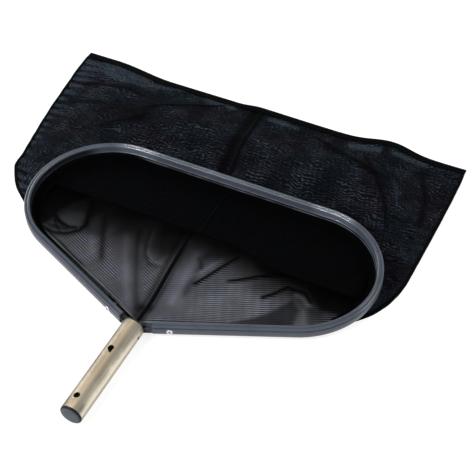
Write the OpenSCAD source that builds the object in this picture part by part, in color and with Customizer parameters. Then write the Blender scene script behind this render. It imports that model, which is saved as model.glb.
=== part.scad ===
// Leaf skimmer net: a bent strip hoop on a tube handle, with a mesh bag lying behind it.
// Origin on the handle's axis at its open end, +Y towards the bag, +X to the right, +Z up. Millimetres.
// It lies on a surface: the handle tube and the bag's lower mesh touch it.

/* [Handle] */
// Outside diameter of the handle tube
handle_od = 28.6; // [26:0.1:30]
// Wall of the handle tube
handle_wall = 1.3; // [1:0.1:1.6]
// Length of the handle tube
handle_len = 142; // [120:1:220]
// Handle tube past the point where the hoop's outer sides would meet
handle_past_apex = 7; // [3:0.5:8]
// Diameter of the lock holes
lock_hole_d = 8; // [6:0.5:9]
// Open end to the middle of the first lock hole
lock_hole_inset = 17.8; // [17:0.1:20]
// Distance between the lock holes
lock_hole_pitch = 76.2; // [60:0.1:80]
// Length of the second lock hole's tapered tail
lock_tail = 3; // [1:0.5:4]
// How far the lock holes are turned round the tube, off its top to the left
lock_turn = 7; // [0:1:15]

/* [End plug] */
// Thickness of the plug's flange
plug_flange_t = 3.4; // [2:0.1:5]
// How much smaller the flange's radius is than the tube's
plug_flange_step = 0.2; // [0.1:0.1:1]
// Depth of the plug's skirt inside the tube
plug_skirt_len = 12; // [8:0.5:12.5]
// Wall of the plug's skirt
plug_wall = 1.6; // [1.2:0.1:2.5]

/* [Hoop] */
// Overall width of the hoop
hoop_w = 495.6; // [440:0.2:520]
// Angle of the two straight sides to the front bar
side_angle = 23.5; // [20:0.5:27]
// Outside radius of the two corners
corner_r = 107; // [95:1:115]
// Thickness of the strip, measured in the hoop's plane
strip_t = 8.4; // [8:0.1:9]
// Height of the strip
strip_h = 15.5; // [15:0.1:17]
// Height of the hoop's top above the handle's axis
hoop_rise = 10.1; // [9.7:0.1:11]
// Meeting point of the sides to the strip's right end, along the side
strip_start = 26.5; // [24:0.5:30]
// How much further the left end of the strip reaches towards the tube
strip_lead = 4; // [0:0.5:4]
// Wall between the channel and the outer face
outer_wall = 1.3; // [1.1:0.1:1.6]
// Wall between the channel and the inner face
inner_wall = 1.4; // [1.1:0.1:1.6]
// How far the slot's two lips stand out from the inner face
lip_proud = 0.5; // [0.3:0.1:0.8]
// Height of the channel for the hem bead
channel_h = 6.2; // [5.6:0.1:6.4]
// Floor of the strip below the channel
channel_floor = 2; // [1.4:0.1:2.4]
// Height of the slot that lets the hem out
slot_h = 1.6; // [1.4:0.1:2]

/* [Yoke] */
// Length of the stem inside the tube
stem_len = 35; // [28:1:38]
// Clearance between the stem and the tube
stem_gap = 0.15; // [0.1:0.05:0.3]
// Wall of the stem
stem_wall = 3.3; // [2.5:0.1:5]
// Length of the arms inside the strip's channel
arm_len = 37.5; // [32:0.5:50]
// Length of the tenons inside the strip's upper hollow
tenon_len = 15; // [8:1:20]
// Clearance round the arms and tenons
arm_gap = 0.15; // [0.1:0.05:0.25]
// Thickness of the collar that the tube butts against
collar_t = 2.5; // [1.5:0.5:3]

/* [Rivets and pin] */
// Shank diameter of the blind rivets
rivet_d = 3.9; // [3.2:0.1:4]
// Head diameter of the blind rivets
rivet_head_d = 8; // [6:0.1:8]
// Strip's end to the hoop rivet's middle
hoop_rivet_inset = 20.9; // [12:0.1:24]
// Diameter of the slotted pin through the tube and the stem
pin_d = 4; // [3:0.1:4.5]
// Wall of the slotted pin
pin_wall = 0.7; // [0.5:0.1:0.9]
// Tube's inner end to the pin's middle
pin_inset = 12.4; // [8:0.1:20]

/* [Bag] */
// Distance from the handle's open end to the bag's rear seam, at the centre
bag_reach = 577; // [560:1:620]
// Half of the bag's width at the rear seam
bag_half_w = 298; // [280:1:310]
// How far the middle of the rear seam's two ends lies to the left of the handle's axis
bag_shift = 33; // [20:1:40]
// How far the centre seam's rear end lies to the left of the handle's axis
seam_end_shift = 39; // [20:1:45]
// How far the centre seam starts to the left of the handle's axis
seam_shift = 3; // [0:0.5:6]
// Thickness of a mesh layer
mesh_t = 0.7; // [0.5:0.1:0.8]
// Width of the hem inside the hoop
hem_reach = 9; // [8:0.5:12]
// Distance that the upper mesh's slack lies in front of the front bar
slack_reach = 84; // [40:1:100]
// Height of the upper mesh's arch behind the front bar, above the floor
bag_loft = 17; // [13:1:30]
// Width of the centre seam tapes
seam_w = 5; // [4:0.5:8]
// Width of the side seams
side_seam_w = 3; // [2:0.5:6]
// Width of the rear binding
binding_w = 8; // [6:0.5:12]
// Diameter of the bead inside the hem
bead_d = 4.2; // [3.8:0.1:4.4]

/* [Hidden] */

$fn = 96;
eps = 0.01;
$draw = 0;
champagne = [0.79, 0.72, 0.61];
slate = [0.35, 0.39, 0.45];
silver = [0.82, 0.83, 0.84];
steel = [0.45, 0.46, 0.48];
black_plastic = [0.07, 0.07, 0.08];
plug_slate = [0.16, 0.18, 0.22];
mesh_black = [0.13, 0.14, 0.16];
tape_black = [0.05, 0.05, 0.06];

// Handle
handle_r = handle_od / 2;
bore_r = handle_r - handle_wall;
floor_z = -handle_r;
apex_y = handle_len - handle_past_apex;
second_hole_y = lock_hole_inset + lock_hole_pitch;
tail_root_w = 2.4;
tail_tip_w = 1;
tail_tip_y = -lock_hole_d / 2 - lock_tail;

// Hoop outline: two sides from the apex, tangent to the corner arcs, and the front bar
half_bar = hoop_w / 2 - corner_r;
corner_y = (corner_r + half_bar * sin(side_angle)) / cos(side_angle);
hoop_d = corner_y + corner_r;
side_len = half_bar * cos(side_angle) + corner_y * sin(side_angle);
corner_sweep = 180 - side_angle;
corner_len = corner_r * corner_sweep * PI / 180;
half_len = side_len + corner_len + half_bar;
bar_y = apex_y + hoop_d;

// Strip section: 0 at the outer face and -strip_t at the lips, heights from the strip's underside
strip_z = hoop_rise - strip_h;
inner_face = -strip_t + lip_proud;
channel_out = -outer_wall;
channel_in = inner_face + inner_wall;
channel_w = channel_out - channel_in;
channel_mid = (channel_out + channel_in) / 2;
channel_mid_h = channel_floor + channel_h / 2;
channel_top = channel_floor + channel_h;
slot_floor = channel_floor + 0.4;
lip_r = 0.8;
edge_r = 1;
inner_bead_r = 2.1;
outer_bead_r = 1.6;
outer_bead_drop = 0.6;
rim_groove = 1.5;
belly_r = 16;
belly_n = 5;
belly_top = channel_top + 1.2;
recess_d = 0.9;
recess_h = 3.3;
bend_draw = 0.03;
bend_run = 0.4;
hollow_floor = channel_top + 1.1;
hollow_h = 3.2;
hollow_out = channel_out - 0.9;
hollow_w = hollow_out - channel_in;

// Yoke and its fasteners
stem_r = bore_r - stem_gap;
stem_core_r = stem_r - stem_wall;
stem_core_len = stem_len - 7;
collar_r = handle_r - 0.7;
neck_inset = 1.1;
neck_floor = 1.2;
neck_gap = 0.3;
rib_n = 4;
rib_t = 1.4;
rib_pitch = 3.6;
rib_reach = 3.2;
top_rib_step = 2.4;
neck_h = rib_pitch * (rib_n - 1) + rib_t;
web_t = 3;
web_reach = 14;
arm_end = strip_start + arm_len;
hoop_rivet_s = strip_start + hoop_rivet_inset;
pin_y = handle_len - pin_inset;
pin_gap = 0.05;
pin_recess = 0.4;
pin_slot = 0.8;
hole_gap = 0.15;
head_t = 1.1;
bulb_t = 2.4;
bulb_r = rivet_d / 2 + 1;
mandrel_r = 1;
mandrel_gap = 0.05;
mandrel_sink = 0.6;
mandrel_head_r = 1.8;
mandrel_head_t = 1.6;

// Hem: the bead lies in the channel, a neck leaves by the slot, and a skirt hangs inside the hoop
bead_r = bead_d / 2;
hem_start = arm_end + 2;
hem_gap = 0.3;
wrap_gap = 0.05;
wrap_t = 0.3;
hem_drop = 4;
skirt_t = 0.7;
skirt_in = strip_t + hem_reach;
slot_mid = slot_floor + slot_h / 2;
skirt_z = strip_z + slot_mid - hem_drop;
band_inset = strip_t + 0.6;

// Bag: heights of the mesh layers' middles
lower_side_a = 52;
upper_side_a = 38;
edge_side_a = 20;
edge_blend = 30;
side_bulges = [45, 24];
side_peaks = [0.18, 0.3];
side_fade = 0.75;
rear_hump = 12.5;
hump_foot = 1.5;
hump_u = 0.64;
hump_w = 0.12;
rear_dip = 4.3;
rear_lift = 6.2;
layer_gap = 0.3;
join_gap = 0.2;
layer_step = mesh_t + layer_gap;
lower_z = floor_z + mesh_t / 2;
fold_r = mesh_t / 2 + 0.2;
fold_min = 1.5;
return_z = skirt_z - 2 * fold_r;
seam_z = lower_z + layer_step;
mesh_fall = 45;
binding_t = 4 * mesh_t;
seam_end_t = 0.996;
mesh_in = skirt_in + join_gap;
slack_y = bar_y - mesh_in - slack_reach;
across = 14;
along_n = 22;
flap_n = 5;
turn_n = 4;
fold_n = flap_n + turn_n;
upper_n = fold_n + along_n;

function lerp(a, b, t) = a + (b - a) * t;
function smooth(t) = let (k = min(max(t, 0), 1)) k * k * (3 - 2 * k);
function mirror_x(p, side) = [side * p[0], p[1]];

// A point of the hoop's outline, s along it from the apex and inset from its outer face
function hoop_point(s, inset) =
    s < side_len ?
        [0, apex_y] + s * [cos(side_angle), sin(side_angle)] + inset * [-sin(side_angle), cos(side_angle)] :
    s < side_len + corner_len ?
        let (a = side_angle - 90 + (s - side_len) / corner_r * 180 / PI)
        [half_bar, apex_y + corner_y] + (corner_r - inset) * [cos(a), sin(a)] :
        [half_len - s, bar_y - inset];

// Length along the outline to the point of the corner that lies a degrees in front of its widest point
function corner_s(a) = side_len + corner_r * (90 - side_angle - a) * PI / 180;

// Where the inset line of the straight side crosses x
function side_cross(x, inset) = (x + inset * sin(side_angle)) / cos(side_angle);

// Bag plan on the right (side = 1) or the left (side = -1). t runs from the mouth to the rear seam
function seam_x(t) = lerp(-seam_shift, -seam_end_shift, t);
function seam_edge_x(t, side) = seam_x(t) + side * seam_w / 2;
function rear_wave(u, side) =
    side > 0 ?
        rear_hump * exp(-pow((u - hump_u) / hump_w, 2)) - hump_foot * sin(180 * u) :
        lerp(-rear_dip * smooth(u / hump_w), rear_lift, smooth((u - 0.5) / 0.35));
function rear_point(u, side) =
    [lerp(seam_edge_x(1, side), side * bag_half_w - bag_shift, u), bag_reach + rear_wave(u, side)];
function side_bulge(t, side) =
    let (k = side > 0 ? 1 : 0)
    side_bulges[k] * sin(90 * min(1, t / side_peaks[k])) * pow(1 - t, side_fade);

// The side's edge leaves the hem at start, comes out from under the hoop and runs to the rear seam
function side_point(t, side, start) =
    let (edge = mirror_x(hoop_point(corner_s(edge_side_a), 0), side))
    lerp(edge, rear_point(1, side), t) + [side * side_bulge(t, side), 0]
    + (start - edge) * pow(1 - t, edge_blend);

// Blends the plan between the centre seam, the side, the mouth and the rear seam
function plan(u, t, side, mouth, mouth_0, mouth_1) =
    let (centre = [lerp(mouth_0[0], seam_edge_x(1, side), t), lerp(mouth_0[1], bag_reach, t)])
    (1 - u) * centre + u * side_point(t, side, mouth_1)
    + (1 - t) * mouth + t * rear_point(u, side)
    - (1 - u) * (1 - t) * mouth_0 - u * (1 - t) * mouth_1
    - (1 - u) * t * rear_point(0, side) - u * t * rear_point(1, side);

// Lower mesh: from the hem's skirt down to the floor, then back to the rear seam
function lower_mouth(u, side) =
    let (middle = side_cross(side * seam_edge_x(0, side), mesh_in))
    mirror_x(hoop_point(lerp(middle, corner_s(lower_side_a), u), mesh_in), side);
function lower_point(u, t, side) =
    let (m = lower_mouth(u, side), p = plan(u, t, side, m, lower_mouth(0, side), lower_mouth(1, side)))
    [p[0], p[1], lerp(skirt_z, lower_z, smooth(norm(p - m) / mesh_fall))];

// Upper mesh: from the hem forward to the fold, round it, then back under the bar and over to the rear seam
function upper_mouth(u, side, inset) =
    let (middle = half_len - side * seam_edge_x(0, side))
    mirror_x(hoop_point(lerp(middle, corner_s(upper_side_a), u), inset), side);
function fold_point(u, side) =
    let (p = upper_mouth(u, side, mesh_in + fold_min)) [p[0], min(p[1], slack_y)];
function return_height(u, p, f) =
    let (arch = (p[1] - bar_y) / (bag_reach - bar_y),
        rise = (bag_loft - mesh_t / 2 + floor_z - return_z) * smooth(arch / 0.45),
        middle = lerp(return_z + rise, seam_z, smooth((arch - 0.45) / 0.55)),
        edge = lerp(return_z, seam_z, smooth(norm(p - f) / mesh_fall)))
    lerp(middle, edge, smooth((u - 0.3) / 0.7));
function upper_point(u, j, side) =
    let (m = upper_mouth(u, side, mesh_in), f = fold_point(u, side))
    j <= flap_n ?
        let (p = lerp(m, f, j / flap_n)) [p[0], p[1], skirt_z] :
    j < fold_n ?
        let (a = 180 * (j - flap_n) / turn_n, p = f + fold_r * sin(a) * (f - m) / norm(f - m))
        [p[0], p[1], skirt_z - fold_r * (1 - cos(a))] :
        let (t = (j - fold_n) / along_n, p = plan(u, t, side, f, fold_point(0, side), fold_point(1, side)))
        [p[0], p[1], return_height(u, p, f)];

// Solid sheet of thickness t round a grid of points, thickened along the grid's own normals
function grid_normal(g, i, j) =
    let (rows = len(g) - 1, cols = len(g[0]) - 1,
        a = g[min(i + 1, rows)][j] - g[max(i - 1, 0)][j],
        b = g[i][min(j + 1, cols)] - g[i][max(j - 1, 0)],
        n = cross(a, b))
    n / norm(n);
module sheet(g, t) {
    rows = len(g);
    cols = len(g[0]);
    half = rows * cols;
    points = [for (side = [1, -1], i = [0:rows - 1], j = [0:cols - 1])
        g[i][j] + side * t / 2 * grid_normal(g, i, j)];
    top = [for (i = [0:rows - 2], j = [0:cols - 2])
        [i * cols + j, i * cols + j + 1, (i + 1) * cols + j + 1, (i + 1) * cols + j]];
    bottom = [for (f = top) [f[3] + half, f[2] + half, f[1] + half, f[0] + half]];
    rim = concat([for (j = [0:cols - 1]) j], [for (i = [1:rows - 1]) i * cols + cols - 1],
        [for (j = [cols - 2:-1:0]) (rows - 1) * cols + j], [for (i = [rows - 2:-1:1]) i * cols]);
    walls = [for (k = [0:len(rim) - 1])
        let (a = rim[k], b = rim[(k + 1) % len(rim)]) [b, a, a + half, b + half]];
    split = [for (f = concat(top, bottom, walls)) each [[f[0], f[1], f[2]], [f[0], f[2], f[3]]]];
    polyhedron(points, split);
}

// Band along a line of points, from w[0] to w[1] to the line's right and from h[0] to h[1] above it
module tape(line, w, h) {
    n = len(line) - 1;
    function right_of(k) =
        let (d = line[min(k + 1, n)] - line[max(k - 1, 0)], a = [d[1], -d[0], 0]) a / norm(a);
    rings = [for (k = [0:n], c = [[1, 1], [0, 1], [0, 0], [1, 0]])
        line[k] + w[c[0]] * right_of(k) + [0, 0, h[c[1]]]];
    sides = [for (k = [0:n - 1], c = [0:3]) let (d = (c + 1) % 4)
        each [[4 * k + c, 4 * k + d, 4 * k + 4 + d], [4 * k + c, 4 * k + 4 + d, 4 * k + 4 + c]]];
    ends = [[0, 2, 1], [0, 3, 2], [4 * n, 4 * n + 1, 4 * n + 2], [4 * n, 4 * n + 2, 4 * n + 3]];
    polyhedron(rings, concat(sides, ends));
}

// Extrudes a strip section along a stretch of the straight side
module along_side(s0, s1) {
    end = hoop_point(s1, 0);
    translate([end[0], end[1], strip_z])
        rotate([90, 0, side_angle - 90])
            linear_extrude(s1 - s0)
                children();
}

// Runs a section round the whole hoop, from s0 on the right to lead before it on the left. The straight
// stretches run a little way into the corners, where bending has drawn every face in by $draw
module whole_hoop(s0, lead = 0) {
    for (side = [1, -1])
        mirror([side < 0 ? 1 : 0, 0, 0])
            translate([half_bar, apex_y + corner_y, strip_z])
                rotate([0, 0, side_angle - 90]) {
                    let ($draw = bend_draw)
                        rotate_extrude(angle = corner_sweep, $fn = 180)
                            translate([corner_r, 0])
                                children();
                    translate([corner_r, bend_run, 0])
                        rotate([90, 0, 0])
                            linear_extrude(side_len - s0 + bend_run + (side < 0 ? lead : 0))
                                children();
                }
    translate([-half_bar - bend_run, bar_y, strip_z])
        rotate([90, 0, 90])
            linear_extrude(2 * (half_bar + bend_run))
                children();
}
module both_sides() {
    children();
    mirror([1, 0, 0]) children();
}

module channel_section(gap) {
    translate([channel_in + gap, channel_floor + gap])
        square([channel_w - 2 * gap, channel_h - 2 * gap]);
}
module hollow_section(gap) {
    translate([channel_in + gap, hollow_floor + gap])
        square([hollow_w - 2 * gap, hollow_h - 2 * gap]);
}
function belly_point(k, draw) =
    let (h = max(k / belly_n * belly_top, draw))
    [sqrt(pow(belly_r, 2) - pow(h - channel_mid_h, 2)) - belly_r - draw, h];
module strip_section() {
    d = $draw;
    bead_x = inner_face + inner_bead_r;
    bead_y = strip_h - inner_bead_r;
    outer_y = strip_h - outer_bead_drop - outer_bead_r;
    difference() {
        union() {
            translate([inner_face + d, edge_r]) square([-inner_face - edge_r - d, bead_y - edge_r]);
            translate([inner_face + edge_r, d]) square([-inner_face - 2 * edge_r, edge_r - d]);
            translate([-edge_r, belly_top]) square([edge_r - d, outer_y - belly_top]);
            polygon([[-2 * edge_r, belly_top], [-2 * edge_r, d], for (k = [0:belly_n]) belly_point(k, d)]);
            translate([inner_face + edge_r, edge_r]) circle(edge_r - d);
            translate([bead_x, bead_y]) circle(inner_bead_r - d);
            translate([-outer_bead_r, outer_y]) circle(outer_bead_r - d);
            translate([bead_x, outer_y]) square([-outer_bead_r - bead_x, strip_h - rim_groove - outer_y - d]);
            for (y = [slot_floor - lip_r, slot_floor + slot_h + lip_r])
                translate([-strip_t + lip_r, y]) circle(lip_r - d);
        }
        channel_section(-d);
        hollow_section(-d);
        translate([-strip_t - 1, slot_floor - d]) square([channel_in + strip_t + 1, slot_h + 2 * d]);
        translate([-recess_d - d, belly_top - d]) square([recess_d + 1, recess_h + 2 * d]);
    }
}
module bead_section() {
    translate([channel_mid, channel_mid_h]) circle(bead_r - $draw);
}
module hem_section() {
    outer_r = bead_r + wrap_gap + wrap_t - $draw;
    bend_x = -strip_t - 0.2;
    top_y = slot_mid + skirt_t / 2 - $draw;
    bottom_y = slot_mid - skirt_t / 2 + $draw;
    tip_x = -skirt_in + $draw;
    difference() {
        union() {
            translate([channel_mid, channel_mid_h]) circle(outer_r);
            polygon([[channel_mid, top_y], [bend_x, top_y], [tip_x, top_y - hem_drop],
                [tip_x, bottom_y - hem_drop], [bend_x, bottom_y], [channel_mid, bottom_y]]);
        }
        translate([channel_mid, channel_mid_h]) circle(bead_r + wrap_gap + $draw);
    }
}

module handle_tube() {
    color(champagne)
        difference() {
            rotate([-90, 0, 0])
                difference() {
                    cylinder(h = handle_len, r = handle_r);
                    translate([0, 0, -1]) cylinder(h = handle_len + 2, r = bore_r);
                }
            rotate([0, -lock_turn, 0]) {
                for (y = [lock_hole_inset, second_hole_y])
                    translate([0, y, -handle_od]) cylinder(h = 2 * handle_od, d = lock_hole_d);
                translate([0, second_hole_y, 0])
                    linear_extrude(handle_od)
                        polygon([[-tail_root_w / 2, 0], [tail_root_w / 2, 0], [tail_tip_w / 2, tail_tip_y],
                            [-tail_tip_w / 2, tail_tip_y]]);
            }
            pin_hole();
        }
}

module end_plug() {
    flange_r = handle_r - plug_flange_step;
    skirt_r = bore_r - 0.25;
    rim = 0.9;
    dome = 0.8;
    color(plug_slate) {
        rotate([-90, 0, 0])
            difference() {
                union() {
                    rotate_extrude()
                        polygon([[0, -plug_flange_t], [flange_r - 4, -plug_flange_t + 0.15],
                            [flange_r - rim, -plug_flange_t + dome], [flange_r, -plug_flange_t + dome + rim],
                            [flange_r, 0], [0, 0]]);
                    translate([0, 0, -eps]) cylinder(h = plug_skirt_len + eps, r = skirt_r);
                }
                cylinder(h = plug_skirt_len + 1, r = skirt_r - plug_wall);
            }
        for (a = [0:60:300])
            rotate([0, a, 0])
                translate([-0.5, 0.5, skirt_r - 0.3])
                    cube([1, plug_skirt_len - 1.5, 0.5]);
    }
}

module neck_section() {
    depth = strip_t - 2 * neck_inset;
    translate([-strip_t + neck_inset, neck_floor]) {
        square([depth - rib_reach, neck_h]);
        for (k = [0 : rib_n - 1])
            translate([0, k * rib_pitch])
                square([depth - (k == rib_n - 1 ? top_rib_step : 0), rib_t]);
    }
}

module neck_and_arm(neck_end) {
    intersection() {
        along_side(-collar_r, neck_end) neck_section();
        translate([-hoop_w / 2, handle_len, -hoop_w / 2]) cube(hoop_w);
    }
    along_side(neck_end - 1, arm_end) channel_section(arm_gap);
    along_side(neck_end - 1, strip_start + tenon_len) hollow_section(arm_gap);
}

module yoke() {
    crotch_y = apex_y + strip_t / cos(side_angle);
    web_x = web_reach / tan(side_angle);
    color(black_plastic)
        difference() {
            union() {
                neck_and_arm(strip_start - neck_gap);
                mirror([1, 0, 0]) neck_and_arm(strip_start - strip_lead - neck_gap);
                translate([0, 0, strip_z + neck_floor])
                    linear_extrude(web_t)
                        polygon([[0, crotch_y - 2], [web_reach, crotch_y + web_reach * tan(side_angle)],
                            [-web_reach, crotch_y + web_reach * tan(side_angle)]]);
                translate([0, handle_len - stem_len, 0])
                    rotate([-90, 0, 0])
                        cylinder(h = stem_len + eps, r = stem_r);
                translate([0, handle_len, 0])
                    rotate([-90, 0, 0])
                        cylinder(h = collar_t, r = collar_r);
            }
            translate([0, handle_len - stem_len - 1, 0])
                rotate([-90, 0, 0])
                    cylinder(h = stem_core_len + 1, r = stem_core_r);
            pin_hole();
            both_sides() at_hoop_rivet() rivet_hole();
        }
}

// A frame at the hoop rivet: +Z out of the strip's outer face
module at_hoop_rivet() {
    p = hoop_point(hoop_rivet_s, 0);
    translate([p[0], p[1], strip_z + channel_mid_h])
        rotate([0, 90, side_angle - 90])
            children();
}
module pin_hole() {
    translate([0, pin_y, 0])
        rotate([0, 90, 0])
            cylinder(h = 2 * handle_od, r = pin_d / 2 + pin_gap, center = true);
}
module rivet_hole() {
    cylinder(h = 2 * strip_t + 4, r = rivet_d / 2 + hole_gap, center = true);
}
module rivet_body(grip) {
    flat_t = head_t * 0.4;
    shank_l = grip + bulb_t;
    difference() {
        union() {
            cylinder(h = flat_t, d = rivet_head_d);
            translate([0, 0, flat_t - eps])
                cylinder(h = head_t - flat_t + eps, d1 = rivet_head_d, d2 = rivet_head_d * 0.6);
            translate([0, 0, -shank_l]) cylinder(h = shank_l + eps, d = rivet_d);
            translate([0, 0, -shank_l]) cylinder(h = bulb_t, r = bulb_r);
        }
        translate([0, 0, -shank_l - 1]) cylinder(h = shank_l + head_t + 2, r = mandrel_r + mandrel_gap);
    }
}
module rivet_mandrel(grip) {
    shank_l = grip + bulb_t;
    translate([0, 0, -shank_l]) cylinder(h = shank_l + head_t - mandrel_sink, r = mandrel_r);
    translate([0, 0, -shank_l - mandrel_head_t]) cylinder(h = mandrel_head_t, r = mandrel_head_r);
}

module hoop() {
    color(slate)
        difference() {
            whole_hoop(strip_start, strip_lead) strip_section();
            both_sides() at_hoop_rivet() rivet_hole();
        }
}
module hoop_rivets() {
    color(silver) both_sides() at_hoop_rivet() rivet_body(strip_t);
}
module hoop_rivet_mandrels() {
    color(steel) both_sides() at_hoop_rivet() rivet_mandrel(strip_t);
}
module stem_pin() {
    pin_len = handle_od - 2 * pin_recess;
    color(steel)
        translate([0, pin_y, 0])
            rotate([0, 90, 0])
                difference() {
                    cylinder(h = pin_len, d = pin_d, center = true);
                    cylinder(h = pin_len + 2, r = pin_d / 2 - pin_wall, center = true);
                    translate([0, -pin_slot / 2, -pin_len]) cube([pin_d, pin_slot, 2 * pin_len]);
                }
}

module hem_bead() {
    color(black_plastic) whole_hoop(hem_start) bead_section();
}
module mouth_hem() {
    color(tape_black) whole_hoop(hem_start) hem_section();
}
module apex_patch() {
    patch_t = 0.8;
    end = hem_start - hem_gap;
    outer = [hoop_point(end, band_inset), hoop_point(side_cross(0, band_inset), band_inset)];
    inner = [hoop_point(side_cross(0, skirt_in), skirt_in), hoop_point(end, skirt_in)];
    color(tape_black)
        translate([0, 0, skirt_z - patch_t / 2])
            linear_extrude(patch_t)
                polygon([outer[0], outer[1], mirror_x(outer[0], -1), mirror_x(inner[1], -1), inner[0],
                    inner[1]]);
}

module lower_mesh(side) {
    g = [for (i = [0:across]) [for (j = [0:along_n]) lower_point(i / across, j / along_n, side)]];
    color(mesh_black) sheet(side > 0 ? g : [for (i = [across:-1:0]) g[i]], mesh_t);
}
module upper_mesh(side) {
    g = [for (i = [0:across]) [for (j = [0:upper_n]) upper_point(i / across, j, side)]];
    color(mesh_black) sheet(side > 0 ? g : [for (i = [across:-1:0]) g[i]], mesh_t);
}
module lower_mesh_left() { lower_mesh(-1); }
module lower_mesh_right() { lower_mesh(1); }
module upper_mesh_left() { upper_mesh(-1); }
module upper_mesh_right() { upper_mesh(1); }

module lower_centre_seam() {
    g = [for (side = [-1, 1]) [for (j = [0:along_n]) lower_point(0, j / along_n, side)]];
    color(tape_black) sheet(g, mesh_t);
}
module upper_centre_seam() {
    g = [for (side = [-1, 1]) [for (j = [0:upper_n]) upper_point(0, j, side)]];
    color(tape_black) sheet(g, mesh_t);
}
module side_seam(side) {
    line = [for (j = [3:along_n]) lower_point(1, min(j / along_n, seam_end_t), side)];
    w = side > 0 ? [join_gap, side_seam_w] : [-side_seam_w, -join_gap];
    color(tape_black) tape(line, w, [-mesh_t / 2, mesh_t / 2 + layer_step]);
}
module side_seam_left() { side_seam(-1); }
module side_seam_right() { side_seam(1); }

module rear_binding() {
    function end_point(side) = rear_point(1, side) + [side * side_seam_w, 0];
    function edge_point(k) = k == 0 ? [-seam_end_shift, bag_reach] : rear_point(abs(k) / across, sign(k));
    line = concat([end_point(1)], [for (k = [across:-1:-across]) edge_point(k)], [end_point(-1)]);
    color(tape_black) tape([for (p = line) [p[0], p[1], floor_z]], [join_gap, binding_w], [0, binding_t]);
}

handle_tube();
end_plug();
stem_pin();
yoke();
hoop();
hoop_rivets();
hoop_rivet_mandrels();
hem_bead();
mouth_hem();
apex_patch();
lower_mesh_left();
lower_mesh_right();
upper_mesh_left();
upper_mesh_right();
lower_centre_seam();
upper_centre_seam();
side_seam_left();
side_seam_right();
rear_binding();
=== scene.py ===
import math

import bmesh
import bpy
import numpy as np
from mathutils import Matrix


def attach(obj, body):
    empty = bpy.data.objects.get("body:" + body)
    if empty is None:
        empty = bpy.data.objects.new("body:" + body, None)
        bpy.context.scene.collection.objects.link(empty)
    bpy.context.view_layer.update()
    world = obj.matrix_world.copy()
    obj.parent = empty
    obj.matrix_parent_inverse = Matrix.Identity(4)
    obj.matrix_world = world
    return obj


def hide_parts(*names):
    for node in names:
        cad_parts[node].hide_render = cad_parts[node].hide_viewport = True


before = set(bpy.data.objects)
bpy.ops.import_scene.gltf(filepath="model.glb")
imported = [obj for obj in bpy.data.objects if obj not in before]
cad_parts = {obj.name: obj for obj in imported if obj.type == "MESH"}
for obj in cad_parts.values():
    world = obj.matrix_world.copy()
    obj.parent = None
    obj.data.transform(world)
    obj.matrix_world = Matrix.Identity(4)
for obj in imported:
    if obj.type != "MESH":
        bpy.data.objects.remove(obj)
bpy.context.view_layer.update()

floorZ = -0.0143
mm = 0.001
weldDistance = 0.000004
print("frame loaded")


# small tools for modelling by operator

def objectMode():
    if bpy.context.mode != "OBJECT":
        bpy.ops.object.mode_set(mode="OBJECT")


def deselectAll():
    objectMode()
    bpy.ops.object.select_all(action="DESELECT")


def makeActive(piece):
    deselectAll()
    piece.select_set(True)
    bpy.context.view_layer.objects.active = piece


def editMode(piece, kind="VERT"):
    makeActive(piece)
    bpy.ops.object.mode_set(mode="EDIT")
    bpy.ops.mesh.select_mode(type=kind)


def selectWhole(kind="VERT"):
    bpy.ops.mesh.select_mode(type=kind)
    bpy.ops.mesh.select_all(action="SELECT")


def named(name):
    piece = bpy.context.active_object
    piece.name = piece.data.name = name
    return piece


def settle(piece):
    # the place goes into the mesh, so the object stays at the origin
    makeActive(piece)
    bpy.ops.object.transform_apply(location=True, rotation=True, scale=True)
    return piece


def modify(piece, kind, **settings):
    makeActive(piece)
    modifier = piece.modifiers.new(kind.title(), kind)
    for key, value in settings.items():
        setattr(modifier, key, value)
    bpy.ops.object.modifier_apply(modifier=modifier.name)


def smoothByAngle(piece, degrees):
    makeActive(piece)
    bpy.ops.object.shade_smooth_by_angle(angle=math.radians(degrees))


def extrudeBy(step):
    bpy.ops.mesh.extrude_region_move(TRANSFORM_OT_translate={"value": step})


def drawOutline(name, points):
    # one vertex is walked round the outline by extruding it, and the last one is joined to the first
    deselectAll()
    bpy.ops.mesh.primitive_plane_add(size=0.0001, location=(0, 0, 0))
    piece = named(name)
    bpy.ops.object.mode_set(mode="EDIT")
    selectWhole()
    bpy.ops.mesh.merge(type="CENTER")
    bpy.ops.transform.translate(value=points[0])
    for here, there in zip(points, points[1:]):
        step = tuple(b - a for a, b in zip(here, there))
        bpy.ops.mesh.extrude_vertices_move(TRANSFORM_OT_translate={"value": step})
    edit = bmesh.from_edit_mesh(piece.data)
    for vert in edit.verts:
        vert.select = len(vert.link_edges) < 2
    edit.select_flush_mode()
    bmesh.update_edit_mesh(piece.data)
    bpy.ops.mesh.edge_face_add()
    bpy.ops.mesh.select_all(action="SELECT")
    return piece


def tidyShell(piece, distance=0.00001):
    editMode(piece)
    bpy.ops.mesh.select_all(action="SELECT")
    bpy.ops.mesh.remove_doubles(threshold=distance)
    bpy.ops.mesh.normals_make_consistent(inside=False)
    objectMode()


def arc(middle, radius, start, end, steps):
    angles = [math.radians(start + (end - start) * k / steps) for k in range(steps + 1)]
    return [(middle[0] + radius * math.cos(a), middle[1] + radius * math.sin(a)) for a in angles]


# node materials: maths is written on wires, any other node comes from Finish.node

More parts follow.
